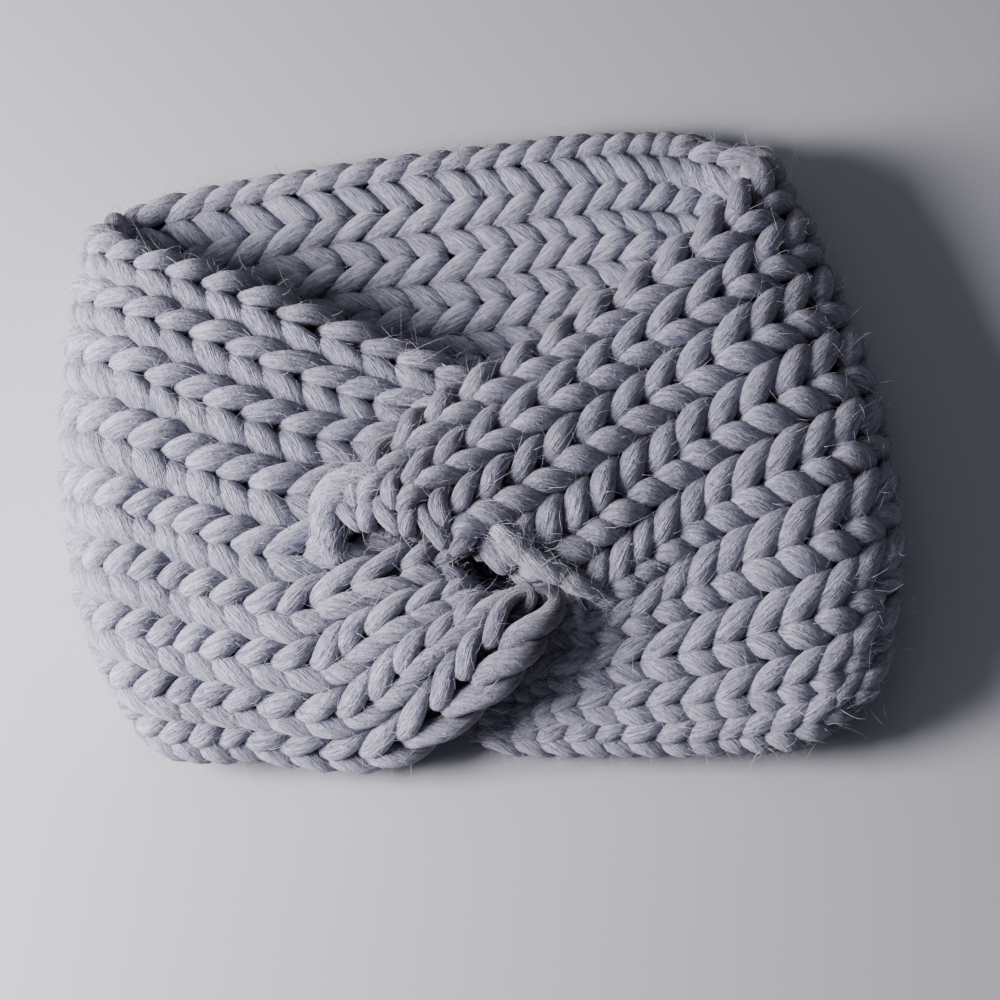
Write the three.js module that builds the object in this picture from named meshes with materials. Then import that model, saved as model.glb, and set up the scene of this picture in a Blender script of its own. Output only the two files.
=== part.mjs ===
// Ear warmer headband: one strip knitted in chunky one by one rib, with a folded twist at the front.
// The strip starts at the seam, runs left over the front, turns under, crosses the back,
// turns up at the right and comes back to the seam, where its two ends are folded into each other.
// It lies flat as in a drawer: +X is right, +Y is towards the brow of the back panel, +Z is up.
import * as THREE from "three";
import { mergeVertices } from "three/addons/utils/BufferGeometryUtils.js";

// Overall plan of the lying band, in millimetres.
const SPAN = 230;
const DEPTH = 190;

// The knit: its full thickness over the ribs, the ribs on its outer face and how deep they are.
const WALL = 14;
const RIBS = 9;
const RIB_RELIEF = 3;
const RIB_SHOULDER = 0.86;

// Air left between two layers of knit that lie on each other, and how far the ribs press flat below.
const LAYER_GAP = 0.6;
const PRESS = 0.9;

// One stitch of the sewing yarn that shows on top of the knot.
const YARN_WIDTH = 7.5;
const YARN_HEIGHT = 5.5;
const SEAT_GAP = 0.3;

// The two ends of the strip are rounded off over a part of a course, down to a share of the wall.
const END_RIM = 0.3;
const END_SHARE = 0.55;

// Fineness of the faceted surface, and of the small moves that find its directions.
const SECTIONS = 74;
const MOVE = 0.02;
const YARN_SIDES = 10;
const YARN_STEPS = 14;
const PATCH_RAYS = 12;

// A height of one level is one layer of knit with its gap.
const STOREY = WALL + LAYER_GAP;
const REST_HEIGHT = WALL / 2 - PRESS;

// A row for each course line of the strip, from the left end to the right end.
// course counts the knitted rows from the left end, and thick is the share of the wall that is left there.
// The other columns are points across the strip from hem to brow:
// x as a share of SPAN, y as a share of DEPTH and the level.
const COURSES = [
  { name: "left end", course: 0, thick: 0.62,
    hem: [0.092, -0.352, 2.6], low: [0.036, -0.332, 2.5], middle: [-0.015, -0.308, 2.0],
    high: [-0.03, -0.16, 1.3], brow: [0.03, -0.03, 1.35] },
  { name: "left tuck", course: 2, thick: 0.78,
    hem: [0.052, -0.432, 2.1], low: [-0.03, -0.4, 2.15], middle: [-0.068, -0.321, 2.15],
    high: [-0.068, -0.119, 1.35], brow: [0.0, 0.02, 1.4] },
  { name: "left flap", course: 4.5, thick: 0.95,
    hem: [-0.078, -0.497, 0.3], low: [-0.135, -0.422, 1.6], middle: [-0.2, -0.292, 2.05],
    high: [-0.156, -0.08, 1.5], brow: [-0.088, 0.075, 1.45] },
  { name: "left front", course: 8.5, thick: 1,
    hem: [-0.257, -0.495, 0.15], low: [-0.305, -0.406, 1.45], middle: [-0.347, -0.229, 2],
    high: [-0.317, -0.02, 1.95], brow: [-0.29, 0.175, 1.6] },
  { name: "left turn", course: 12.9, thick: 0.95,
    hem: [-0.374, -0.468, 0.3], low: [-0.426, -0.347, 1.2], middle: [-0.457, -0.159, 1.5],
    high: [-0.465, 0.078, 1.5], brow: [-0.452, 0.268, 1.3] },
  { name: "left fold", course: 13.9, thick: 0.93,
    hem: [-0.391, -0.421, 0.25], low: [-0.439, -0.31, 0.75], middle: [-0.472, -0.126, 0.87],
    high: [-0.48, 0.11, 0.87], brow: [-0.47, 0.31, 0.75] },
  { name: "left under turn", course: 14.9, thick: 0.95,
    hem: [-0.365, -0.379, 0.1], low: [-0.422, -0.274, 0.25], middle: [-0.454, -0.095, 0.25],
    high: [-0.463, 0.137, 0.25], brow: [-0.448, 0.353, 0.2] },
  { name: "left underside", course: 15.9, thick: 1,
    hem: [-0.313, -0.358, 0.0], low: [-0.383, -0.253, 0.0], middle: [-0.413, -0.074, 0.0],
    high: [-0.422, 0.153, 0.0], brow: [-0.404, 0.379, 0.0] },
  { name: "back left", course: 20.5, thick: 1,
    hem: [-0.185, -0.345, 0.0], low: [-0.2, -0.16, 0.0], middle: [-0.21, 0.035, 0.0],
    high: [-0.213, 0.235, 0.0], brow: [-0.208, 0.432, 0.0] },
  { name: "back middle", course: 25.5, thick: 1,
    hem: [0.0, -0.325, 0.0], low: [0.0, -0.135, 0.0], middle: [0.0, 0.07, 0.0],
    high: [0.0, 0.272, 0.0], brow: [0.0, 0.472, 0.0] },
  { name: "back right", course: 30.5, thick: 1,
    hem: [0.185, -0.305, 0.0], low: [0.2, -0.115, 0.0], middle: [0.203, 0.095, 0.0],
    high: [0.19, 0.3, 0.0], brow: [0.165, 0.495, 0.0] },
  { name: "right underside", course: 34.4, thick: 1,
    hem: [0.339, -0.316, 0.0], low: [0.378, -0.168, 0.0], middle: [0.383, 0.021, 0.0],
    high: [0.339, 0.263, 0.0], brow: [0.274, 0.484, 0.08] },
  { name: "right under turn", course: 35.5, thick: 0.86,
    hem: [0.386, -0.318, 0.08], low: [0.43, -0.195, 0.25], middle: [0.43, 0.005, 0.25],
    high: [0.383, 0.247, 0.25], brow: [0.317, 0.463, 0.4] },
  { name: "right fold", course: 36.6, thick: 0.83,
    hem: [0.436, -0.382, 0.5], low: [0.461, -0.237, 0.8], middle: [0.454, -0.026, 0.87],
    high: [0.404, 0.21, 0.87], brow: [0.339, 0.421, 0.95] },
  { name: "right turn", course: 37.7, thick: 0.88,
    hem: [0.418, -0.445, 0.8], low: [0.448, -0.284, 1.25], middle: [0.439, -0.063, 1.5],
    high: [0.387, 0.168, 1.5], brow: [0.322, 0.368, 1.45] },
  { name: "right shoulder", course: 39, thick: 1,
    hem: [0.378, -0.478, 0.6], low: [0.41, -0.33, 1.42], middle: [0.397, -0.1, 1.8],
    high: [0.342, 0.122, 1.87], brow: [0.28, 0.29, 1.8] },
  { name: "right front", course: 43, thick: 1,
    hem: [0.267, -0.485, 0.15], low: [0.262, -0.39, 1.25], middle: [0.25, -0.199, 1.95],
    high: [0.178, -0.025, 2.25], brow: [0.096, 0.09, 2.2] },
  { name: "right flap", course: 47.5, thick: 0.85,
    hem: [0.12, -0.49, 0.12], low: [0.09, -0.408, 0.8], middle: [0.131, -0.301, 1.86],
    high: [0.002, -0.183, 2.86], brow: [-0.1, -0.103, 2.85] },
  { name: "right tuck", course: 49.5, thick: 0.68,
    hem: [0.05, -0.49, 0.1], low: [0.045, -0.42, 0.45], middle: [0.098, -0.302, 1.45],
    high: [-0.058, -0.23, 3.05], brow: [-0.16, -0.195, 3.0] },
  { name: "right end", course: 51, thick: 0.56,
    hem: [0.0, -0.487, 0.1], low: [0.0, -0.415, 0.35], middle: [0.075, -0.293, 1.19],
    high: [-0.056, -0.266, 2.84], brow: [-0.158, -0.238, 2.8] },
];
const ACROSS = ["hem", "low", "middle", "high", "brow"];

// The visible stitch of sewing yarn in plan, from the right flap over the knot to the right panel:
// x as a share of SPAN and y as a share of DEPTH. It lies on whatever knit is below it.
const STITCH = [
  { x: 0.018, y: -0.255 },
  { x: 0.045, y: -0.287 },
  { x: 0.078, y: -0.303 },
  { x: 0.122, y: -0.325 },
];


// Cubic through values at knots, with slopes from the neighbours on either side.
function through(knots, values, t) {
  const last = knots.length - 1;
  let i = 0;
  while (i < last - 1 && t > knots[i + 1]) i += 1;
  const chord = (k) => (values[k + 1] - values[k]) / (knots[k + 1] - knots[k]);
  const slope = (k) => {
    if (k === 0) return chord(0);
    if (k === last) return chord(last - 1);
    const before = knots[k] - knots[k - 1];
    const after = knots[k + 1] - knots[k];
    return (chord(k - 1) * after + chord(k) * before) / (before + after);
  };
  const width = knots[i + 1] - knots[i];
  const s = (t - knots[i]) / width;
  const a = values[i];
  const b = values[i + 1];
  const ma = slope(i) * width;
  const mb = slope(i + 1) * width;
  const s2 = s * s;
  const s3 = s2 * s;
  return a * (2 * s3 - 3 * s2 + 1) + ma * (s3 - 2 * s2 + s) + b * (3 * s2 - 2 * s3) + mb * (s3 - s2);
}

const courseKnots = COURSES.map((row) => row.course);
const acrossKnots = ACROSS.map((_, i) => i / (ACROSS.length - 1));
const LAST_COURSE = courseKnots[courseKnots.length - 1];

// A point in the plan, from its shares and its level.
function place([x, y, level]) {
  return new THREE.Vector3(x * SPAN, y * DEPTH, REST_HEIGHT + level * STOREY);
}

// The middle of the knit at a course and a share across, with 0 at the hem and 1 at the brow.
function middleOfKnit(course, across) {
  const shares = [0, 1, 2].map((axis) => {
    const along = ACROSS.map((column) => {
      const values = COURSES.map((row) => row[column][axis]);
      return through(courseKnots, values, course);
    });
    return through(acrossKnots, along, across);
  });
  return place(shares);
}

// The direction out of the outer face, and half the wall there.
function outward(course, across) {
  const c0 = Math.max(course - MOVE, 0);
  const c1 = Math.min(course + MOVE, LAST_COURSE);
  const v0 = Math.max(across - MOVE, 0);
  const v1 = Math.min(across + MOVE, 1);
  const along = middleOfKnit(c1, across).sub(middleOfKnit(c0, across));
  const over = middleOfKnit(course, v1).sub(middleOfKnit(course, v0));
  return over.cross(along).normalize();
}

function halfWall(course) {
  return (WALL / 2) * through(courseKnots, COURSES.map((row) => row.thick), course);
}

// Height of a rib's profile, 1 on its crest and 0 in the valley, at a share of one rib's width.
// It falls gently to the shoulder, half way to the valley, and steeply from there.
function ribProfile(share) {
  const t = share - Math.floor(share);
  const fromCrest = Math.abs(t - 0.5) * 2;
  if (fromCrest <= 0.5) return 1 - (1 - RIB_SHOULDER) * 2 * fromCrest;
  return RIB_SHOULDER * 2 * (1 - fromCrest);
}

// Rounded edge: the share of the wall left at a distance from the hem, brow or end.
function roundedEdge(distance, radius) {
  const t = Math.min(distance / radius, 1);
  return Math.sqrt(1 - (1 - t) * (1 - t));
}

// Shares across the strip where the section has a corner: four to a rib, and one close to each selvedge.
const RIB_PARTS = 4;
const SELVEDGE_PART = 0.09;
const acrossSamples = [0, SELVEDGE_PART / RIBS];
for (let i = 1; i < RIBS * RIB_PARTS; i += 1) acrossSamples.push(i / (RIBS * RIB_PARTS));
acrossSamples.push(1 - SELVEDGE_PART / RIBS, 1);

// One closed section of the strip at a course: the outer face from hem to brow, then the inner face back.
// The inner face has its ribs between those of the outer one.
function section(course, endRounding) {
  const half = halfWall(course);
  const width = middleOfKnit(course, 0).distanceTo(middleOfKnit(course, 0.5)) * 2;
  const faces = { outer: [], inner: [] };
  for (const v of acrossSamples) {
    const centre = middleOfKnit(course, v);
    const out = outward(course, v);
    const edge = roundedEdge(Math.min(v, 1 - v) * width, half) * endRounding;
    const outerRelief = RIB_RELIEF * (half / (WALL / 2)) * (1 - ribProfile(v * RIBS));
    const innerRelief = RIB_RELIEF * (half / (WALL / 2)) * (1 - ribProfile(v * RIBS + 0.5));
    const outer = centre.clone().addScaledVector(out, (half - outerRelief) * edge);
    const inner = centre.clone().addScaledVector(out, -(half - innerRelief) * edge);
    outer.z = Math.max(outer.z, 0);
    faces.outer.push(outer);
    if (v > 0 && v < 1) faces.inner.push(inner);
  }
  return [...faces.outer, ...faces.inner.reverse()];
}

// The whole strip: sections joined by quads, and each end closed across from face to face.
function stripGeometry() {
  const stops = [[0, END_SHARE], [END_RIM, 1]];
  const spans = Math.round(SECTIONS) - 3;
  for (let i = 1; i < spans; i += 1) stops.push([(LAST_COURSE * i) / spans, 1]);
  stops.push([LAST_COURSE - END_RIM, 1], [LAST_COURSE, END_SHARE]);
  const rings = stops.map(([course, rounding]) => section(course, rounding));
  const count = rings[0].length;
  const positions = rings.flat().flatMap((p) => [p.x, p.y, p.z]);
  const index = [];
  for (let r = 0; r < rings.length - 1; r += 1) {
    for (let i = 0; i < count; i += 1) {
      const a = r * count + i;
      const b = r * count + ((i + 1) % count);
      const c = a + count;
      const d = b + count;
      index.push(a, b, c, b, d, c);
    }
  }
  const closeEnd = (base, flip) => {
    const top = acrossSamples.length - 1;
    for (let i = 0; i < top; i += 1) {
      const a = base + i;
      const b = base + i + 1;
      const c = base + ((count - i) % count);
      const d = base + count - i - 1;
      const faces = i === 0 ? [[a, b, d]] : i === top - 1 ? [[a, b, c]] : [[a, b, c], [b, d, c]];
      for (const [p, q, s] of faces) index.push(...(flip ? [p, s, q] : [p, q, s]));
    }
  };
  closeEnd(0, true);
  closeEnd((rings.length - 1) * count, false);
  const geometry = new THREE.BufferGeometry();
  geometry.setAttribute("position", new THREE.Float32BufferAttribute(positions, 3));
  geometry.setIndex(index);
  return geometry;
}

// Height of the highest knit under a round patch of yarn, looked for from above.
function topOfKnit(band, x, y, radius) {
  const caster = new THREE.Raycaster();
  const down = new THREE.Vector3(0, 0, -1);
  const above = STOREY * 10;
  const tops = [];
  for (let i = 0; i <= PATCH_RAYS; i += 1) {
    const angle = (i / PATCH_RAYS) * Math.PI * 2;
    const reach = i === 0 ? 0 : radius;
    caster.set(new THREE.Vector3(x + Math.cos(angle) * reach, y + Math.sin(angle) * reach, above), down);
    for (const hit of caster.intersectObject(band)) tops.push(hit.point.z);
  }
  return Math.max(0, ...tops);
}

// The sewing yarn: an oval strand swept along its stitch, drawn tight over the knit below.
function stitchGeometry(band) {
  const stops = STITCH.map(({ x, y }) => new THREE.Vector3(x * SPAN, y * DEPTH, 0));
  const plan = new THREE.CatmullRomCurve3(stops);
  const points = plan.getSpacedPoints(YARN_STEPS);
  const tops = points.map((p) => topOfKnit(band, p.x, p.y, YARN_WIDTH / 2));
  points.forEach((p, i) => p.setZ(tops[i] + YARN_HEIGHT / 2 + SEAT_GAP));
  const path = new THREE.CatmullRomCurve3(points);
  const oval = new THREE.Shape();
  for (let i = 0; i < YARN_SIDES; i += 1) {
    const angle = (i / YARN_SIDES) * Math.PI * 2;
    const x = (Math.cos(angle) * YARN_HEIGHT) / 2;
    const y = (Math.sin(angle) * YARN_WIDTH) / 2;
    if (i === 0) oval.moveTo(x, y);
    else oval.lineTo(x, y);
  }
  const sweep = { steps: YARN_STEPS * 2, bevelEnabled: false, extrudePath: path };
  const swept = new THREE.ExtrudeGeometry(oval, sweep);
  swept.deleteAttribute("normal");
  swept.deleteAttribute("uv");
  return mergeVertices(swept, 1e-3);
}

const wool = new THREE.MeshStandardMaterial({ color: 0xb9bbc8, roughness: 0.95, metalness: 0 });
const sewingWool = new THREE.MeshStandardMaterial({ color: 0xbcbecb, roughness: 0.95, metalness: 0 });

const band = new THREE.Mesh(stripGeometry(), wool);
band.name = "knit_band";
const stitch = new THREE.Mesh(stitchGeometry(band), sewingWool);
stitch.name = "seam_stitch";

// The origin is below the middle of the band's box, on the surface that it lies on.
band.geometry.computeBoundingBox();
const box = band.geometry.boundingBox;
const headband = new THREE.Group();
headband.add(band, stitch);
headband.position.set(-(box.min.x + box.max.x) / 2, -(box.min.y + box.max.y) / 2, 0);

const model = new THREE.Group();
model.add(headband);
export default model;
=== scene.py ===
import math

import bpy
import numpy as np
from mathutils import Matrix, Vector


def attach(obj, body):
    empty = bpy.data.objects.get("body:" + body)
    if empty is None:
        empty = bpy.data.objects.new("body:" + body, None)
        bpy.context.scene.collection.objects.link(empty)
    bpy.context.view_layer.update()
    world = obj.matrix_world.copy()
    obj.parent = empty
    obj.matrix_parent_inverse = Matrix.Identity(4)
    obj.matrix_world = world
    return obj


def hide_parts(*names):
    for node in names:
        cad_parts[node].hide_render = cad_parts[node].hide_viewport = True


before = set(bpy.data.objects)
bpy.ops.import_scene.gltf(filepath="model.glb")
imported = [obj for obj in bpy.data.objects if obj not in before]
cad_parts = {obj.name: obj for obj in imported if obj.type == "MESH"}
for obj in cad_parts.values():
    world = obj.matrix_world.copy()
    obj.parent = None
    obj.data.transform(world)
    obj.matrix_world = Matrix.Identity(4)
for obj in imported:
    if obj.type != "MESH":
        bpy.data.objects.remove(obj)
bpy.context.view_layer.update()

# ---- The ground of the knit ----------------------------------------------------------------------
# One strip knitted in chunky 1x1 rib, 51 courses long and 9 ribs wide, is bent into the ring: from the seam
# left over the front, under at the left fold, across the back, up at the right fold and back to the seam.
# The ground is where its strands cross in the middle of the wall: a thin layer between them, coloured dark as
# painted shade in the gaps between the stitches.
MM = 0.001
SPAN, DEPTH, WALL, RIBS = 230.0, 190.0, 14.0, 9
STOREY, REST_HEIGHT = 14.6, 6.1
GROUND_THICK = 2.4
GROUND_COURSES, GROUND_SHARE = (2.2, 49.4), (0.05, 0.95)  # drawn back from the two ends and the two selvedges
GROUND_ROWS = 140
FLAT_WIDTH, FLAT_LENGTH, COURSE_LENGTH = 150, 485, 9.5
MOVE = 0.02
PLACE = (2.184, 2.396)  # puts the middle of the band's box over the origin

# Course number, share of the wall left there, then hem, low, middle, high and brow,
# each as x share of SPAN, y share of DEPTH and level in storeys.
COURSES = [
    (0, 0.62, (0.092, -0.352, 2.6), (0.036, -0.332, 2.5),
     (-0.015, -0.308, 2), (-0.03, -0.16, 1.3), (0.03, -0.03, 1.35)),  # left end
    (2, 0.78, (0.052, -0.432, 2.1), (-0.03, -0.4, 2.15),
     (-0.068, -0.321, 2.15), (-0.068, -0.119, 1.35), (0, 0.02, 1.4)),  # left tuck
    (4.5, 0.95, (-0.078, -0.497, 0.3), (-0.135, -0.422, 1.6),
     (-0.2, -0.292, 2.05), (-0.156, -0.08, 1.5), (-0.088, 0.075, 1.45)),  # left flap
    (8.5, 1, (-0.257, -0.495, 0.15), (-0.305, -0.406, 1.45),
     (-0.347, -0.229, 2), (-0.317, -0.02, 1.95), (-0.29, 0.175, 1.6)),  # left front
    (12.9, 0.95, (-0.374, -0.468, 0.3), (-0.426, -0.347, 1.2),
     (-0.457, -0.159, 1.5), (-0.465, 0.078, 1.5), (-0.452, 0.268, 1.3)),  # left turn
    (13.9, 0.93, (-0.391, -0.421, 0.25), (-0.439, -0.31, 0.75),
     (-0.472, -0.126, 0.87), (-0.48, 0.11, 0.87), (-0.47, 0.31, 0.75)),  # left fold
    (14.9, 0.95, (-0.365, -0.379, 0.1), (-0.422, -0.274, 0.25),
     (-0.454, -0.095, 0.25), (-0.463, 0.137, 0.25), (-0.448, 0.353, 0.2)),  # left under turn
    (15.9, 1, (-0.313, -0.358, 0), (-0.383, -0.253, 0),
     (-0.413, -0.074, 0), (-0.422, 0.153, 0), (-0.404, 0.379, 0)),  # left underside
    (20.5, 1, (-0.185, -0.345, 0), (-0.2, -0.16, 0),
     (-0.21, 0.035, 0), (-0.213, 0.235, 0), (-0.208, 0.432, 0)),  # back left
    (25.5, 1, (0, -0.325, 0), (0, -0.135, 0),
     (0, 0.07, 0), (0, 0.272, 0), (0, 0.472, 0)),  # back middle
    (30.5, 1, (0.185, -0.305, 0), (0.2, -0.115, 0),
     (0.203, 0.095, 0), (0.19, 0.3, 0), (0.165, 0.495, 0)),  # back right
    (34.4, 1, (0.339, -0.316, 0), (0.378, -0.168, 0),
     (0.383, 0.021, 0), (0.339, 0.263, 0), (0.274, 0.484, 0.08)),  # right underside
    (35.5, 0.86, (0.386, -0.318, 0.08), (0.43, -0.195, 0.25),
     (0.43, 0.005, 0.25), (0.383, 0.247, 0.25), (0.317, 0.463, 0.4)),  # right under turn
    (36.6, 0.83, (0.436, -0.382, 0.5), (0.461, -0.237, 0.8),
     (0.454, -0.026, 0.87), (0.404, 0.21, 0.87), (0.339, 0.421, 0.95)),  # right fold
    (37.7, 0.88, (0.418, -0.445, 0.8), (0.448, -0.284, 1.25),
     (0.439, -0.063, 1.5), (0.387, 0.168, 1.5), (0.322, 0.368, 1.45)),  # right turn
    (39, 1, (0.378, -0.478, 0.6), (0.41, -0.33, 1.42),
     (0.397, -0.1, 1.8), (0.342, 0.122, 1.87), (0.28, 0.29, 1.8)),  # right shoulder
    (43, 1, (0.267, -0.485, 0.15), (0.262, -0.39, 1.25),
     (0.25, -0.199, 1.95), (0.178, -0.025, 2.25), (0.096, 0.09, 2.2)),  # right front
    (47.5, 0.85, (0.12, -0.49, 0.12), (0.09, -0.408, 0.8),
     (0.131, -0.301, 1.86), (0.002, -0.183, 2.86), (-0.1, -0.103, 2.85)),  # right flap
    (49.5, 0.68, (0.05, -0.49, 0.1), (0.045, -0.42, 0.45),
     (0.098, -0.302, 1.45), (-0.058, -0.23, 3.05), (-0.16, -0.195, 3)),  # right tuck
    (51, 0.56, (0, -0.487, 0.1), (0, -0.415, 0.35),
     (0.075, -0.293, 1.19), (-0.056, -0.266, 2.84), (-0.158, -0.238, 2.8)),  # right end
]


def through(knots, values, t):
    """Cubic through values at knots, with slopes from the neighbours, and straight beyond the ends."""
    knots, values = np.asarray(knots, float), np.asarray(values, float)
    wide = (-1,) + (1,) * (values.ndim - 1)
    step = np.diff(knots)
    chord = np.diff(values, axis=0) / step.reshape(wide)
    slope = np.concatenate([chord[:1], np.zeros_like(chord[1:]), chord[-1:]])
    before, after = step[:-1].reshape(wide), step[1:].reshape(wide)
    slope[1:-1] = (chord[:-1] * after + chord[1:] * before) / (before + after)
    inside = np.clip(t, knots[0], knots[-1])
    i = np.clip(np.searchsorted(knots, inside) - 1, 0, len(knots) - 2)
    width = step[i].reshape(wide)
    s = ((inside - knots[i]) / step[i]).reshape(wide)
    rise = s * s * (3 - 2 * s)
    bend = slope[i] * (s - 1) ** 2 * s + slope[i + 1] * (s - 1) * s * s
    beyond = np.where((t < knots[0]).reshape(wide), slope[0], slope[-1]) * (t - inside).reshape(wide)
    return values[i] + (values[i + 1] - values[i]) * rise + bend * width + beyond


course_knots = np.array([row[0] for row in COURSES])
thickness = np.array([row[1] for row in COURSES])
lines = np.array([row[2:] for row in COURSES])
lines = lines * (SPAN, DEPTH, STOREY) + (PLACE[0], PLACE[1], REST_HEIGHT)


def middle_of_knit(course, across):
    """Points on the middle of the wall, in mm, for courses and for shares across from hem to brow."""
    along = through(course_knots, lines, course)
    quarter = np.clip(across, 0, 1) * 4
    i = np.clip(np.ceil(quarter).astype(int) - 1, 0, 3)
    s = (quarter - i)[:, None]
    chord = np.diff(along, axis=1)
    slope = np.concatenate([chord[:, :1], (chord[:, 1:] + chord[:, :-1]) / 2, chord[:, -1:]], axis=1)
    row = np.arange(len(course))
    rise = s * s * (3 - 2 * s)
    bend = slope[row, i] * (s - 1) ** 2 * s + slope[row, i + 1] * (s - 1) * s * s
    edge = (across - np.clip(across, 0, 1))[:, None] * 4
    beyond = np.where(edge > 0, chord[:, 3], chord[:, 0]) * edge
    return along[row, i] + (along[row, i + 1] - along[row, i]) * rise + bend + beyond


def knit_frame(course, across):
    """Points on the middle of the wall, the direction out of its outer face, and half the wall there."""
    inside = np.clip(across, 0, 1)
    v0, v1 = np.maximum(inside - MOVE, 0), np.minimum(inside + MOVE, 1)
    along = middle_of_knit(course + MOVE, inside) - middle_of_knit(course - MOVE, inside)
    over = middle_of_knit(course, v1) - middle_of_knit(course, v0)
    out = np.cross(over, along)
    out /= np.linalg.norm(out, axis=1)[:, None]
    half = WALL / 2 * through(course_knots, thickness, np.clip(course, 0, course_knots[-1]))
    return middle_of_knit(course, across), out, half


def closed_mesh(name, points, quads, caps=()):
    """A smooth mesh object from points in mm, quads and end caps."""
    mesh = bpy.data.meshes.new(name)
    faces = [tuple(q) for q in quads] + [tuple(c) for c in caps]
    mesh.from_pydata([tuple(p) for p in points * MM], [], faces)
    mesh.update()
    mesh.polygons.foreach_set("use_smooth", [True] * len(mesh.polygons))
    piece = bpy.data.objects.new(name, mesh)
    bpy.context.scene.collection.objects.link(piece)
    return piece


def wool(name, shade, light, sheen, fuzz):
    """Roving wool: fine fibres that wind round the strand, with painted shade: darker between the strands and
    paler on the crests, where they catch the light.
    """
    material = bpy.data.materials.new(name)
    material.use_nodes = True
    tree = material.node_tree
    new, link = tree.nodes.new, tree.links.new
    shader = tree.nodes["Principled BSDF"]
    shader.inputs["Roughness"].default_value = 0.9
    shader.inputs["Sheen Weight"].default_value = sheen
    shader.inputs["Sheen Roughness"].default_value = 0.5
    shader.inputs["Sheen Tint"].default_value = (0.88, 0.87, 0.97, 1)
    shader.inputs["Specular IOR Level"].default_value = 0.15
    place = new("ShaderNodeAttribute")
    place.attribute_name = "strand"
    wound = new("ShaderNodeAttribute")
    wound.attribute_name = "wound"
    unwind = new("ShaderNodeMath")
    unwind.operation = "MULTIPLY"
    unwind.inputs[1].default_value = -1
    link(wound.outputs["Fac"], unwind.inputs[0])
    twist = new("ShaderNodeVectorRotate")
    twist.rotation_type = "Z_AXIS"
    link(place.outputs["Vector"], twist.inputs["Vector"])
    link(unwind.outputs[0], twist.inputs["Angle"])
    heights = []
    for fineness, length, detail in ((0.9, 0.10, 3.0), (2.4, 0.14, 2.0), (1.3, 1.0, 2.0)):
        stretch = new("ShaderNodeMapping")
        stretch.inputs["Scale"].default_value = (fineness, fineness, fineness * length)
        link(twist.outputs[0], stretch.inputs["Vector"])
        fibre = new("ShaderNodeTexNoise")
        fibre.inputs["Scale"].default_value = 1.2
        fibre.inputs["Detail"].default_value = detail
        fibre.inputs["Roughness"].default_value = 0.65
        link(stretch.outputs[0], fibre.inputs["Vector"])
        heights.append(fibre.outputs["Fac"])
    both = new("ShaderNodeMath")
    both.operation = "ADD"
    link(heights[0], both.inputs[0])
    link(heights[1], both.inputs[1])
    grain = new("ShaderNodeMath")
    grain.operation = "MULTIPLY_ADD"
    grain.inputs[1].default_value = 0.5
    link(heights[2], grain.inputs[0])
    link(both.outputs[0], grain.inputs[2])
    level = new("ShaderNodeMapRange")
    level.inputs["From Min"].default_value = 0.98
    level.inputs["From Max"].default_value = 1.52
    link(grain.outputs[0], level.inputs["Value"])
    colour = new("ShaderNodeMix")
    colour.data_type = "RGBA"
    colour.inputs["A"].default_value = (*shade, 1)
    colour.inputs["B"].default_value = (*light, 1)
    link(level.outputs[0], colour.inputs["Factor"])
    patch = new("ShaderNodeTexNoise")
    patch.inputs["Scale"].default_value = 60.0
    patch.inputs["Detail"].default_value = 2.0
    spot = new("ShaderNodeTexCoord")
    link(spot.outputs["Object"], patch.inputs["Vector"])
    value = new("ShaderNodeMapRange")
    value.inputs["From Min"].default_value = 0.3
    value.inputs["From Max"].default_value = 0.7
    value.inputs["To Min"].default_value = 0.9
    value.inputs["To Max"].default_value = 1.06
    link(patch.outputs["Fac"], value.inputs["Value"])
    # Painted shade: the base colour is darkened between the strands and made a touch paler on the crests, by
    # a value stored on each point.
    painted_shading = new("ShaderNodeAttribute")
    painted_shading.attribute_name = "painted_shading"
    dimmed = new("ShaderNodeMath")
    dimmed.operation = "MULTIPLY"
    link(value.outputs[0], dimmed.inputs[0])
    link(painted_shading.outputs["Fac"], dimmed.inputs[1])
    cast = new("ShaderNodeHueSaturation")
    link(dimmed.outputs[0], cast.inputs["Value"])
    link(colour.outputs["Result"], cast.inputs["Color"])
    link(cast.outputs["Color"], shader.inputs["Base Color"])
    bump = new("ShaderNodeBump")
    bump.inputs["Strength"].default_value = fuzz
    bump.inputs["Distance"].default_value = 0.0007
    link(grain.outputs[0], bump.inputs["Height"])
    link(bump.outputs["Normal"], shader.inputs["Normal"])
    return material


def keep_strand(piece, place, wound, painted_shading):
    """Stores each point's place on its strand in mm, how far the fibres have wound, and its painted shade:
    darker between the strands, a touch paler on the crests.
    """
    stored = piece.data.attributes.new("strand", "FLOAT_VECTOR", "POINT")
    stored.data.foreach_set("vector", np.asarray(place, np.float32).ravel())
    for name, values in (("wound", wound), ("painted_shading", painted_shading)):
        stored = piece.data.attributes.new(name, "FLOAT", "POINT")
        stored.data.foreach_set("value", np.asarray(values, np.float32))


across_steps = RIBS * 6
course_stops = np.linspace(*GROUND_COURSES, GROUND_ROWS)
across_stops = np.linspace(*GROUND_SHARE, across_steps + 1)
cc, vv = [a.ravel() for a in np.meshgrid(course_stops, across_stops, indexing="ij")]
middle, out, half = knit_frame(cc, vv)
lift = out * (GROUND_THICK / 2 * half / (WALL / 2))[:, None]
rows, cols = len(course_stops), len(across_stops)
grid = np.arange(rows * cols).reshape(rows, cols)
under = grid + rows * cols
faces = [np.stack([grid[:-1, :-1], grid[:-1, 1:], grid[1:, 1:], grid[1:, :-1]], -1).reshape(-1, 4)[:, ::-1],
         np.stack([under[:-1, :-1], under[:-1, 1:], under[1:, 1:], under[1:, :-1]], -1).reshape(-1, 4)]
rim = np.concatenate([grid[0, :-1], grid[:-1, -1], grid[-1, :0:-1], grid[:0:-1, 0]])
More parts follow.
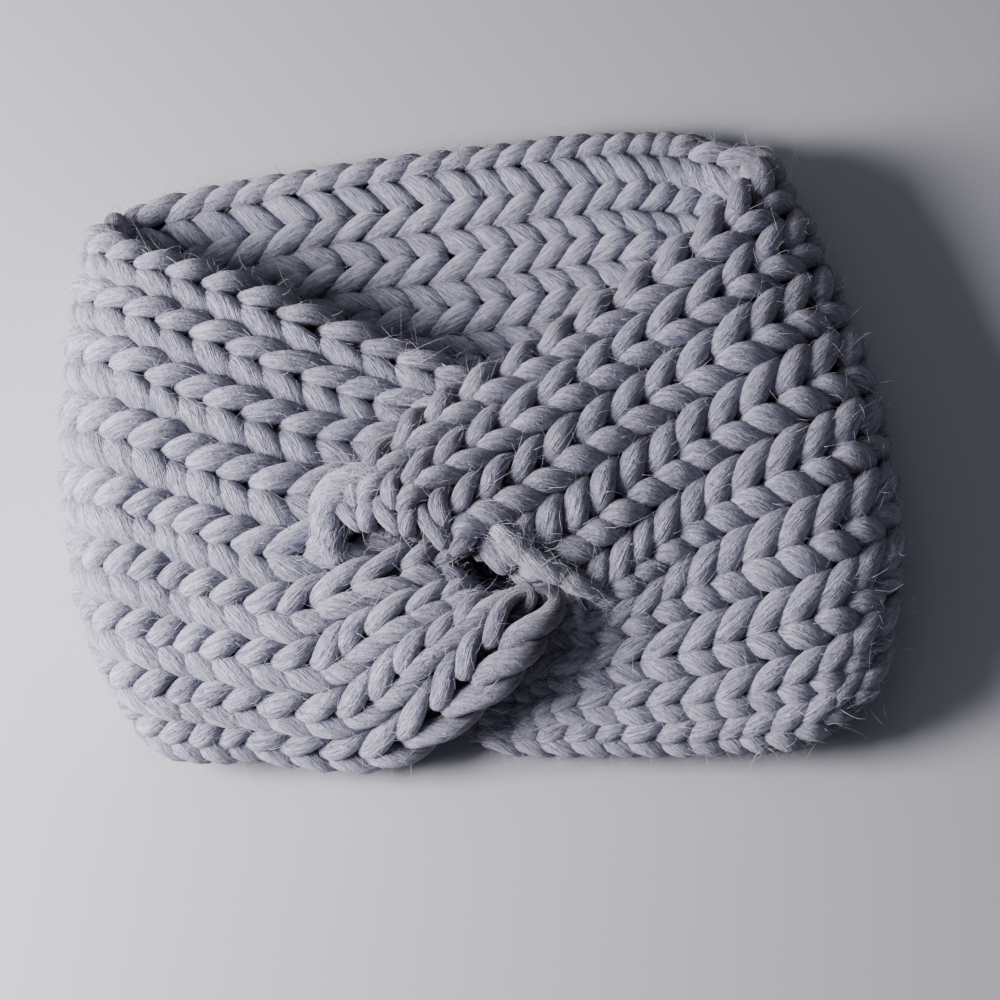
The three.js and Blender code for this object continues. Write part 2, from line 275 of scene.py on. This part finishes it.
far = np.roll(rim, -1)
faces.append(np.stack([rim, far, far + rows * cols, rim + rows * cols], -1))
ground = closed_mesh("knit_ground", np.concatenate([middle + lift, middle - lift]), np.concatenate(faces))
flat_place = np.concatenate([np.stack([vv * FLAT_WIDTH, cc * COURSE_LENGTH, cc * 0], -1)] * 2)
keep_strand(ground, flat_place, np.zeros(len(flat_place)), np.ones(len(flat_place)))
# Painted shade: the ground is coloured dark so that the gaps between the stitches look shaded.
painted_shade_wool = wool("matted roving", (0.13, 0.13, 0.18), (0.22, 0.22, 0.28), 0.2, 0.6)
ground.data.materials.append(painted_shade_wool)
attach(ground, "root")

# ---- The rib stitches ----------------------------------------------------------------------------
# Super bulky single-ply roving, 7 mm thick. Each course crosses the strip once: a knit loop on the outer
# face, then a purl loop on the inner face, in turn. The twist of the yarn makes a loop's two legs unlike:
# one stands steep as a plump leaf, the other lies along the rib like a rope. Both dive under the next course.
# Columns: share of a rib across, courses along, share of half the wall out, strand radius in mm,
# and how far the fibres wind round in degrees a millimetre.
FOOT = [(-0.25, 0.42, 0.00, 2.3, 4)]
ROPE_LEG = [
    (-0.20, 0.64, 0.14, 2.9, 6),
    (-0.15, 0.53, 0.42, 3.7, 8),
    (-0.20, 0.18, 0.52, 4.05, 10),
    (-0.28, -0.24, 0.44, 3.9, 10),
    (-0.33, -0.64, 0.22, 3.2, 9),
    (-0.28, -1.00, -0.02, 2.4, 6),
]
# On the right flap, bent over the knot, the rope legs stand up fat at their start and dive steeply.
FAT_ROPE_LEG = [
    (-0.20, 0.66, 0.10, 2.8, 6),
    (-0.14, 0.52, 0.46, 3.7, 8),
    (-0.19, 0.20, 0.58, 4.15, 10),
    (-0.28, -0.20, 0.44, 3.85, 10),
    (-0.33, -0.60, 0.14, 3.1, 9),
    (-0.28, -0.96, -0.10, 2.3, 6),
]
HEAD = [(0.02, -1.18, -0.08, 2.2, 4)]
BEAD_LEG = [
    (0.38, -0.94, 0.00, 2.2, 3),
    (0.46, -0.62, 0.30, 2.6, 3),
    (0.39, -0.25, 0.54, 3.3, 3),
    (0.26, 0.10, 0.63, 3.65, 3),
    (0.13, 0.44, 0.58, 3.6, 3),
    (0.11, 0.70, 0.28, 3.0, 3),
]
# At the two selvedges the outer leg goes over the edge and slants down the other face.
HEM_LEG = [
    (-0.20, 0.63, 0.12, 2.9, 6),
    (-0.15, 0.50, 0.40, 3.6, 8),
    (-0.22, 0.20, 0.46, 3.9, 10),
    (-0.36, -0.14, 0.30, 3.9, 10),
    (-0.42, -0.52, -0.12, 3.5, 9),
    (-0.34, -0.98, -0.44, 2.9, 7),
]
BROW_LEG = [
    (0.16, -1.52, -0.46, 2.6, 4),
    (0.29, -1.10, -0.56, 3.3, 4),
    (0.42, -0.62, -0.34, 3.6, 4),
    (0.47, -0.20, 0.12, 3.7, 4),
    (0.32, 0.12, 0.50, 3.7, 4),
    (0.14, 0.46, 0.56, 3.6, 3),
    (0.11, 0.70, 0.28, 3.0, 3),
]
# The rope leg next to the brow selvedge has room, so it stands wider and steeper.
WIDE_ROPE_LEG = [
    (-0.16, 0.68, 0.14, 3.0, 6),
    (-0.12, 0.56, 0.42, 3.8, 8),
    (-0.24, 0.16, 0.58, 4.2, 9),
    (-0.38, -0.20, 0.54, 4.1, 9),
    (-0.47, -0.56, 0.28, 3.4, 8),
    (-0.36, -0.94, 0.00, 2.5, 6),
]
COURSE_COUNT = 51
COURSE_PITCH, FIRST_COURSE = 0.988, 0.34
RIGHT_FOLD = 38
RIB_WIDTH = 16.5
SIDES = 12
FLATTEN = 0.9
LINE_STEPS = 2
# Where the wall is pressed thin, its relief stays this share of the full one.
FULLEST, LEAST_RELIEF = WALL / 2, 0.8
# Hand knitting is uneven: a loop's place across, length, place along, relief and thickness.
UNEVEN = (0.012, 0.04, 0.03, 0.05, 0.045)
DEEP_SHADE, FULL_SHADE = 0.34, 1.04  # painted shade: the colour is darker between the strands, where they lie in shadow, and a touch paler on the crests
SHADE_FROM, SHADE_OVER = 1.0, 6.2
TIGHT_BELOW, TIGHT_OVER, TIGHTNESS = 6.0, 4.5, 0.38
NARROW_STEP = 0.01
last_foot = np.array(FOOT) * (-1, 1, 1, 1, 1)


def row_of_loops(rope_leg):
    """The loops of one course from hem to brow: knit and purl in turn, wrapped at either selvedge."""
    knit = np.array(FOOT + rope_leg + HEAD + BEAD_LEG)
    hem = np.array(FOOT + HEM_LEG + HEAD + BEAD_LEG)
    brow = np.array(FOOT + rope_leg + HEAD + BROW_LEG)
    wide = np.array(FOOT + WIDE_ROPE_LEG + HEAD + BEAD_LEG)
    purl, brow_purl = [np.concatenate([last_foot, way[:0:-1]]) * (-1, 1, -1, 1, 1) for way in (knit, wide)]
    return [hem] + [purl, knit] * (RIBS - 2) + [brow_purl, brow]


long_rows, fat_rows = row_of_loops(ROPE_LEG), row_of_loops(FAT_ROPE_LEG)


def crowded(course, across):
    """Where the left end goes into the knot, the ribs at the brow are drawn tight and the hem stays wide."""
    near = np.clip((TIGHT_BELOW - course) / TIGHT_OVER, 0, 1)
    power = 1 - TIGHTNESS * near * near * (3 - 2 * near)
    return np.clip(across, 1e-4, None) ** power


def course_path(course, rng):
    """Control points of one course's strand from hem to brow: across, course, out, radius and winding."""
    points = []
    for wale in range(2 * RIBS - 1):
        uneven = rng.normal(0, 1, 5) * UNEVEN
        part = (fat_rows if course > RIGHT_FOLD else long_rows)[wale].copy()
        part[1:, 0] += uneven[0]
        part[:, 1] *= 1 + uneven[1]
        part[:, 1] += uneven[2]
        part[1:, 2] *= 1 + uneven[3]
        part[:, 3] *= 1 + uneven[4]
        part[:, 0] = (part[:, 0] + 0.5 + wale / 2) / RIBS
        part[:, 1] += course
        points.append(part)
    last = last_foot.copy()
    last[:, 0] = (last[:, 0] + 0.5 + RIBS - 1) / RIBS
    last[:, 1] += course
    return np.concatenate(points + [last])


def smooth_line(points, steps):
    """Points along a Catmull-Rom line through the given ones."""
    p = np.concatenate([points[:1] * 2 - points[1:2], points, points[-1:] * 2 - points[-2:-1]])
    a, b, c, d = p[:-3], p[1:-2], p[2:-1], p[3:]
    made = []
    for k in range(steps):
        t = k / steps
        square, cube = 2 * a - 5 * b + 4 * c - d, 3 * b - a - 3 * c + d
        made.append(0.5 * (2 * b + (c - a) * t + square * t * t + cube * t ** 3))
    return np.concatenate([np.stack(made, 1).reshape(-1, points.shape[1]), points[-1:]])


def tube(centres, radii, outs, winding, sides, flatten):
    """Rings round a line without twist: the points, their place on the strand and the fibres' winding."""
    tangent = np.gradient(centres, axis=0)
    tangent /= np.linalg.norm(tangent, axis=1)[:, None]
    side = np.zeros_like(centres)
    first = outs[0] - tangent[0] * (outs[0] @ tangent[0])
    side[0] = first / np.linalg.norm(first)
    for i in range(1, len(centres)):
        q = side[i - 1] - tangent[i] * (side[i - 1] @ tangent[i])
        side[i] = q / np.linalg.norm(q)
    other = np.cross(tangent, side)
    angle = np.arange(sides) / sides * 2 * math.pi
    spoke = side[:, None] * np.cos(angle)[None, :, None] + other[:, None] * np.sin(angle)[None, :, None]
    squash = (spoke * outs[:, None]).sum(2, keepdims=True) * outs[:, None]
    spoke = spoke - (1 - flatten) * squash
    points = centres[:, None] + spoke * radii[:, None, None]
    step = np.linalg.norm(np.diff(centres, axis=0), axis=1)
    length = np.concatenate([[0], np.cumsum(step)])
    wound = np.concatenate([[0], np.cumsum(step * np.radians(winding[1:]))])
    place = np.stack([np.cos(angle)[None] * radii[:, None], np.sin(angle)[None] * radii[:, None],
                      np.repeat(length[:, None], sides, 1)], -1)
    return points.reshape(-1, 3), place.reshape(-1, 3), np.repeat(wound, sides)


def tube_faces(rings, sides, start):
    """Quads between the rings of one tube, and its two end caps."""
    ring = np.arange(rings * sides).reshape(rings, sides) + start
    nxt = np.roll(ring, -1, axis=1)
    quads = np.stack([ring[:-1], nxt[:-1], nxt[1:], ring[1:]], -1).reshape(-1, 4)
    return quads, [ring[0, ::-1], ring[-1]]


yarn = wool("roving wool", (0.25, 0.24, 0.35), (0.80, 0.78, 0.94), 0.8, 1.0)
rng = np.random.default_rng(7)
strand_starts = {"left_front_stitches": range(0, 14), "back_left_stitches": range(14, 26),
                 "back_right_stitches": range(26, 38), "right_front_stitches": range(38, COURSE_COUNT)}
stitch_pieces = []
surface = []
for name, courses in strand_starts.items():
    points, places, winds, pale, quads, caps, start = [], [], [], [], [], [], 0
    for course in courses:
        path = smooth_line(course_path((course + 0.5) * COURSE_PITCH + FIRST_COURSE, rng), LINE_STEPS)
        across = path[:, 0].copy()
        path[:, 0] = crowded(path[:, 1], across)
        centre, out, half = knit_frame(path[:, 1], path[:, 0])
        beside = middle_of_knit(path[:, 1], crowded(path[:, 1], across + NARROW_STEP))
        room = np.linalg.norm(beside - centre, axis=1) / (NARROW_STEP * RIB_WIDTH * RIBS)
        full = np.maximum(half, LEAST_RELIEF * FULLEST)
        centre = centre + out * (path[:, 2] * full - (full - half))[:, None]
        radius = path[:, 3] * np.clip(full / FULLEST, LEAST_RELIEF, 1) * np.clip(room, 0.85, 1.3) ** 0.6
        ringed, place, wound = tube(centre, radius, out, path[:, 4], SIDES, FLATTEN)
        place[:, 2] += rng.uniform(0, 4000)
        ringed[:, 2] = np.maximum(ringed[:, 2], 0.05)
        height = ((ringed - np.repeat(centre, SIDES, 0)) * np.repeat(out, SIDES, 0)).sum(1)
        height = np.abs(height + np.repeat(path[:, 2] * full, SIDES))
        q, c = tube_faces(len(centre), SIDES, start)
        points.append(ringed)
        places.append(place)
        winds.append(wound)
        # Painted shade: the deeper a point lies between the strands, the darker its colour; the crests get a
        # touch paler.
        rise = np.clip((height - SHADE_FROM) / SHADE_OVER, 0, 1)
        pale.append(DEEP_SHADE + (FULL_SHADE - DEEP_SHADE) * rise)
        quads.append(q)
        caps += c
        start += len(ringed)
        along = np.gradient(centre, axis=0)
        surface.append((ringed, *[np.repeat(part, SIDES, 0) for part in (centre, along, out, path)]))
    piece = closed_mesh(name, np.concatenate(points), np.concatenate(quads), caps)
    keep_strand(piece, np.concatenate(places), np.concatenate(winds), np.concatenate(pale))
    piece.data.materials.append(yarn)
    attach(piece, "root")
    stitch_pieces.append(piece)
for piece in stitch_pieces:
    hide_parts("knit_band")

# ---- The turned end of the right flap ------------------------------------------------------------
# The tail of the roving at the flap's tip: it runs up over the end of the last courses as a thick soft
# turn, bends to the right along the edge, and is drawn into the knit. Brushed fuzzy by handling.
TAIL = [(-36.5, -50.5, 40.0, 2.8), (-38.4, -46.2, 43.4, 3.6), (-39.2, -41.4, 46.2, 4.0),
        (-38.8, -37.4, 48.6, 4.4), (-35.4, -34.2, 50.6, 4.6), (-30.4, -32.4, 51.4, 4.4),
        (-25.2, -31.6, 51.2, 3.8), (-20.4, -31.4, 49.4, 2.6)]  # in mm, with the strand's radius
SINGLE_SIDES = 16
SINGLE_WINDING = 7.0


def single_strand(name, line, steps, material):
    """One strand as a piece of its own, from points with a radius each, in mm."""
    line = smooth_line(np.array(line), steps)
    up = np.repeat([[0.0, 0.0, 1.0]], len(line), 0)
    winding = np.full(len(line), SINGLE_WINDING)
    ringed, place, wound = tube(line[:, :3], line[:, 3], up, winding, SINGLE_SIDES, FLATTEN)
    quads, caps = tube_faces(len(line), SINGLE_SIDES, 0)
    piece = closed_mesh(name, ringed, quads, caps)
    keep_strand(piece, place, wound, np.ones(len(ringed)))
    piece.data.materials.append(material)
    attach(piece, "root")
    middle = np.repeat(line[:, :3], SINGLE_SIDES, 0)
    along = np.repeat(np.gradient(line[:, :3], axis=0), SINGLE_SIDES, 0)
    fuzzy.append((ringed, ringed - middle, along))
    return piece


fuzzy = []
single_strand("turned_end", TAIL, 4, yarn)

# ---- The seam stitch -----------------------------------------------------------------------------
# One stitch of the yarn that sews the two folded ends together, the only one that shows. It is the same
# roving, pulled thin at its two ends where it goes down between the stitches, and rubbed fuzzy.
SEWN_RADII = (2.4, 2.9, 3.1, 3.2, 3.2, 3.1, 2.9, 2.4)
END_RADIUS, END_REACH, END_DIVE = 1.6, 0.6, (0, 0, -4.5)
SUNK = (0, 0, 1.4)
node_points = np.array([v.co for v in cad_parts["seam_stitch"].data.vertices]) / MM
way = node_points[node_points[:, 0].argmax()] - node_points[node_points[:, 0].argmin()]
share = (node_points - node_points.mean(0)) @ way / (way @ way)
share = (share - share.min()) / (share.max() - share.min())
bins = np.clip((share * len(SEWN_RADII)).astype(int), 0, len(SEWN_RADII) - 1)
spine = np.array([node_points[bins == k].mean(0) for k in range(len(SEWN_RADII))])
sewn = [(*(spine[0] + (spine[0] - spine[1]) * END_REACH + END_DIVE), END_RADIUS)]
sewn += [(*point, radius) for point, radius in zip(spine - SUNK, SEWN_RADII)]
sewn += [(*(spine[-1] + (spine[-1] - spine[-2]) * END_REACH + END_DIVE), END_RADIUS)]
brushed = wool("sewing wool", (0.31, 0.305, 0.39), (0.68, 0.67, 0.79), 0.6, 1.0)
seam = single_strand("sewn_strand", sewn, 4, brushed)
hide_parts("seam_stitch")

# ---- The loose fibres ----------------------------------------------------------------------------
# Wool fibres that stand off the roving, because it is spun only loosely. Most lie close along their
# strand, some cross the gaps between the stitches, and a few stand out as a halo round the edges.
FIBRE_COUNT = 12500
FIBRE_RINGS = 5
FIBRE_LENGTH = (3.5, 12.0)
FIBRE_RADIUS = 0.062
FUZZY_COUNT = 350  # on each of the two single strands
FIBRE_LIFTS, LIFT_SHARES = (6, 22, 50), (0.28, 0.45, 0.27)  # degrees off the strand, and how many stand so
FIBRE_SLANT = (-20, 28)
CURL, WAVE = 0.45, 0.5
spot = np.concatenate([part[0] for part in surface])
normal = np.concatenate([part[0] - part[1] for part in surface])
along = np.concatenate([part[2] for part in surface])
out = np.concatenate([part[3] for part in surface])
path = np.concatenate([part[4] for part in surface])
open_face = np.where((path[:, 1] > 15.5) & (path[:, 1] < 35.5), -1, 1)
shown = ((normal * out).sum(1) * open_face > 0.8) & (path[:, 2] * open_face > 0.15)
at_edge = (np.abs(path[:, 0] - 0.5) > 0.47) & (spot[:, 2] > 2)
shown = np.flatnonzero(shown | at_edge)
chosen = rng.choice(shown, FIBRE_COUNT - FUZZY_COUNT * len(fuzzy), replace=False)
spot, normal, along = spot[chosen], normal[chosen], along[chosen]
for own_spot, own_normal, own_along in fuzzy:
    pick = rng.choice(len(own_spot), FUZZY_COUNT, replace=False)
    spot = np.concatenate([spot, own_spot[pick]])
    normal = np.concatenate([normal, own_normal[pick]])
    along = np.concatenate([along, own_along[pick]])


def unit(vectors):
    """The vectors made one long."""
    return vectors / np.linalg.norm(vectors, axis=-1, keepdims=True)


normal, along = unit(normal), unit(along)
lift = np.radians(rng.choice(FIBRE_LIFTS, FIBRE_COUNT, p=LIFT_SHARES) + rng.normal(0, 4, FIBRE_COUNT))
turn = np.radians(rng.normal(*FIBRE_SLANT, FIBRE_COUNT))
heading = unit(along * np.cos(turn)[:, None] + np.cross(normal, along) * np.sin(turn)[:, None])
heading *= rng.choice([-1, 1], FIBRE_COUNT)[:, None]
start = heading * np.cos(lift)[:, None] + normal * np.sin(lift)[:, None]
length = rng.uniform(*FIBRE_LENGTH, FIBRE_COUNT) * (1 - 0.65 * np.sin(lift))
bend = unit(rng.normal(0, 1, (FIBRE_COUNT, 3))) - 0.25 * normal
second = unit(rng.normal(0, 1, (FIBRE_COUNT, 3)))
share = np.linspace(0, 1, FIBRE_RINGS)[None, :, None]
reach = share * length[:, None, None]
line = (spot + 0.02 * normal)[:, None] + start[:, None] * reach + bend[:, None] * reach * share * CURL
line += second[:, None] * reach * share * (1 - share) * WAVE
line[:, :, 2] = np.maximum(line[:, :, 2], 0.12)
tangent = unit(np.gradient(line, axis=1))
side = unit(np.cross(tangent, second[:, None] + (0.01, 0.02, 0.03)))
other = np.cross(tangent, side)
angle = np.arange(3) * 2 * math.pi / 3
thin = FIBRE_RADIUS * (1 - 0.6 * share) * rng.uniform(0.7, 1.3, FIBRE_COUNT)[:, None, None]
spoke = side[:, :, None] * np.cos(angle)[:, None] + other[:, :, None] * np.sin(angle)[:, None]
hair = line[:, :, None] + thin[..., None] * spoke
hair[..., 2] = np.maximum(hair[..., 2], 0.03)
ring = np.arange(FIBRE_RINGS * 3).reshape(FIBRE_RINGS, 3)
turned = np.roll(ring, -1, 1)
wall = np.stack([ring[:-1], turned[:-1], turned[1:], ring[1:]], -1).reshape(-1, 4)

fluff = bpy.data.materials.new("loose wool fibre")
fluff.use_nodes = True
fluff_tree = fluff.node_tree
fluff_shader = fluff_tree.nodes["Principled BSDF"]
fluff_shader.inputs["Roughness"].default_value = 0.7
fluff_shader.inputs["Specular IOR Level"].default_value = 0.3
shades = fluff_tree.nodes.new("ShaderNodeTexNoise")
shades.inputs["Scale"].default_value = 90.0
place = fluff_tree.nodes.new("ShaderNodeTexCoord")
tone = fluff_tree.nodes.new("ShaderNodeMix")
tone.data_type = "RGBA"
tone.inputs["A"].default_value = (0.55, 0.54, 0.63, 1)
tone.inputs["B"].default_value = (0.90, 0.89, 0.96, 1)
fluff_tree.links.new(place.outputs["Object"], shades.inputs["Vector"])
fluff_tree.links.new(shades.outputs["Fac"], tone.inputs["Factor"])
fluff_tree.links.new(tone.outputs["Result"], fluff_shader.inputs["Base Color"])
middle_x = np.median(line[:, 0, 0])
on_left = line[:, 0, 0] <= middle_x
for name, group in (("left_fibres", on_left), ("right_fibres", ~on_left)):
    tufts = hair[group].reshape(-1, 3)
    bases = np.arange(group.sum())[:, None, None] * FIBRE_RINGS * 3
    quads = (wall[None] + bases).reshape(-1, 4)
    ends = [(end[None] + bases).reshape(-1, 3) for end in (ring[:1, ::-1], ring[-1:])]
    piece = closed_mesh(name, tufts, quads, np.concatenate(ends))
    piece.data.materials.append(fluff)
    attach(piece, "root")

# ---- The floor, the light and the camera ---------------------------------------------------------
# A plain pale floor, a soft light from the front left, a weaker one above, and the camera looking
# down on the band as in the photograph.
FLOOR_HALF = 3
floor_mesh = bpy.data.meshes.new("floor")
corners = [(-FLOOR_HALF, -FLOOR_HALF, 0), (FLOOR_HALF, -FLOOR_HALF, 0),
           (FLOOR_HALF, FLOOR_HALF, 0), (-FLOOR_HALF, FLOOR_HALF, 0)]
floor_mesh.from_pydata(corners, [], [(0, 1, 2, 3)])
floor = bpy.data.objects.new("floor", floor_mesh)
bpy.context.scene.collection.objects.link(floor)
paper = bpy.data.materials.new("floor")
paper.use_nodes = True
paper_shader = paper.node_tree.nodes["Principled BSDF"]
paper_shader.inputs["Base Color"].default_value = (0.70, 0.70, 0.76, 1)
paper_shader.inputs["Roughness"].default_value = 0.9
floor_mesh.materials.append(paper)


def soft_light(name, place, target, size, power, tint):
    """An area light at a place, turned to a target."""
    lamp = bpy.data.lights.new(name, "AREA")
    lamp.size, lamp.energy, lamp.color = size, power, tint
    made = bpy.data.objects.new(name, lamp)
    made.location = place
    way = np.array(target) - np.array(place)
    made.rotation_euler = Vector(way).to_track_quat("-Z", "Y").to_euler()
    bpy.context.scene.collection.objects.link(made)


soft_light("window", (-0.50, -0.15, 0.32), (0, 0, 0), 0.24, 5.6, (1.0, 0.985, 0.975))
soft_light("sky", (-0.3, 0.2, 1.3), (0, 0, 0), 1.2, 1.0, (0.95, 0.97, 1.0))
world = bpy.data.worlds.new("room")
world.use_nodes = True
world.node_tree.nodes["Background"].inputs["Color"].default_value = (0.80, 0.82, 0.92, 1)
world.node_tree.nodes["Background"].inputs["Strength"].default_value = 0.09
bpy.context.scene.world = world
bpy.context.scene.view_settings.look = "AgX - Medium High Contrast"

ELEVATION = math.radians(66)
AIM = (0.006, -0.0242, 0.020)
CAMERA_DISTANCE = 0.7
PIXEL = 0.00027
lens = bpy.data.cameras.new("camera")
lens.angle = 2 * math.atan(500 * PIXEL / CAMERA_DISTANCE)
camera = bpy.data.objects.new("camera", lens)
back, up = CAMERA_DISTANCE * math.cos(ELEVATION), CAMERA_DISTANCE * math.sin(ELEVATION)
camera.location = (AIM[0], AIM[1] - back, AIM[2] + up)
camera.rotation_euler = (math.pi / 2 - ELEVATION, 0, 0)
bpy.context.scene.collection.objects.link(camera)
bpy.context.scene.camera = camera
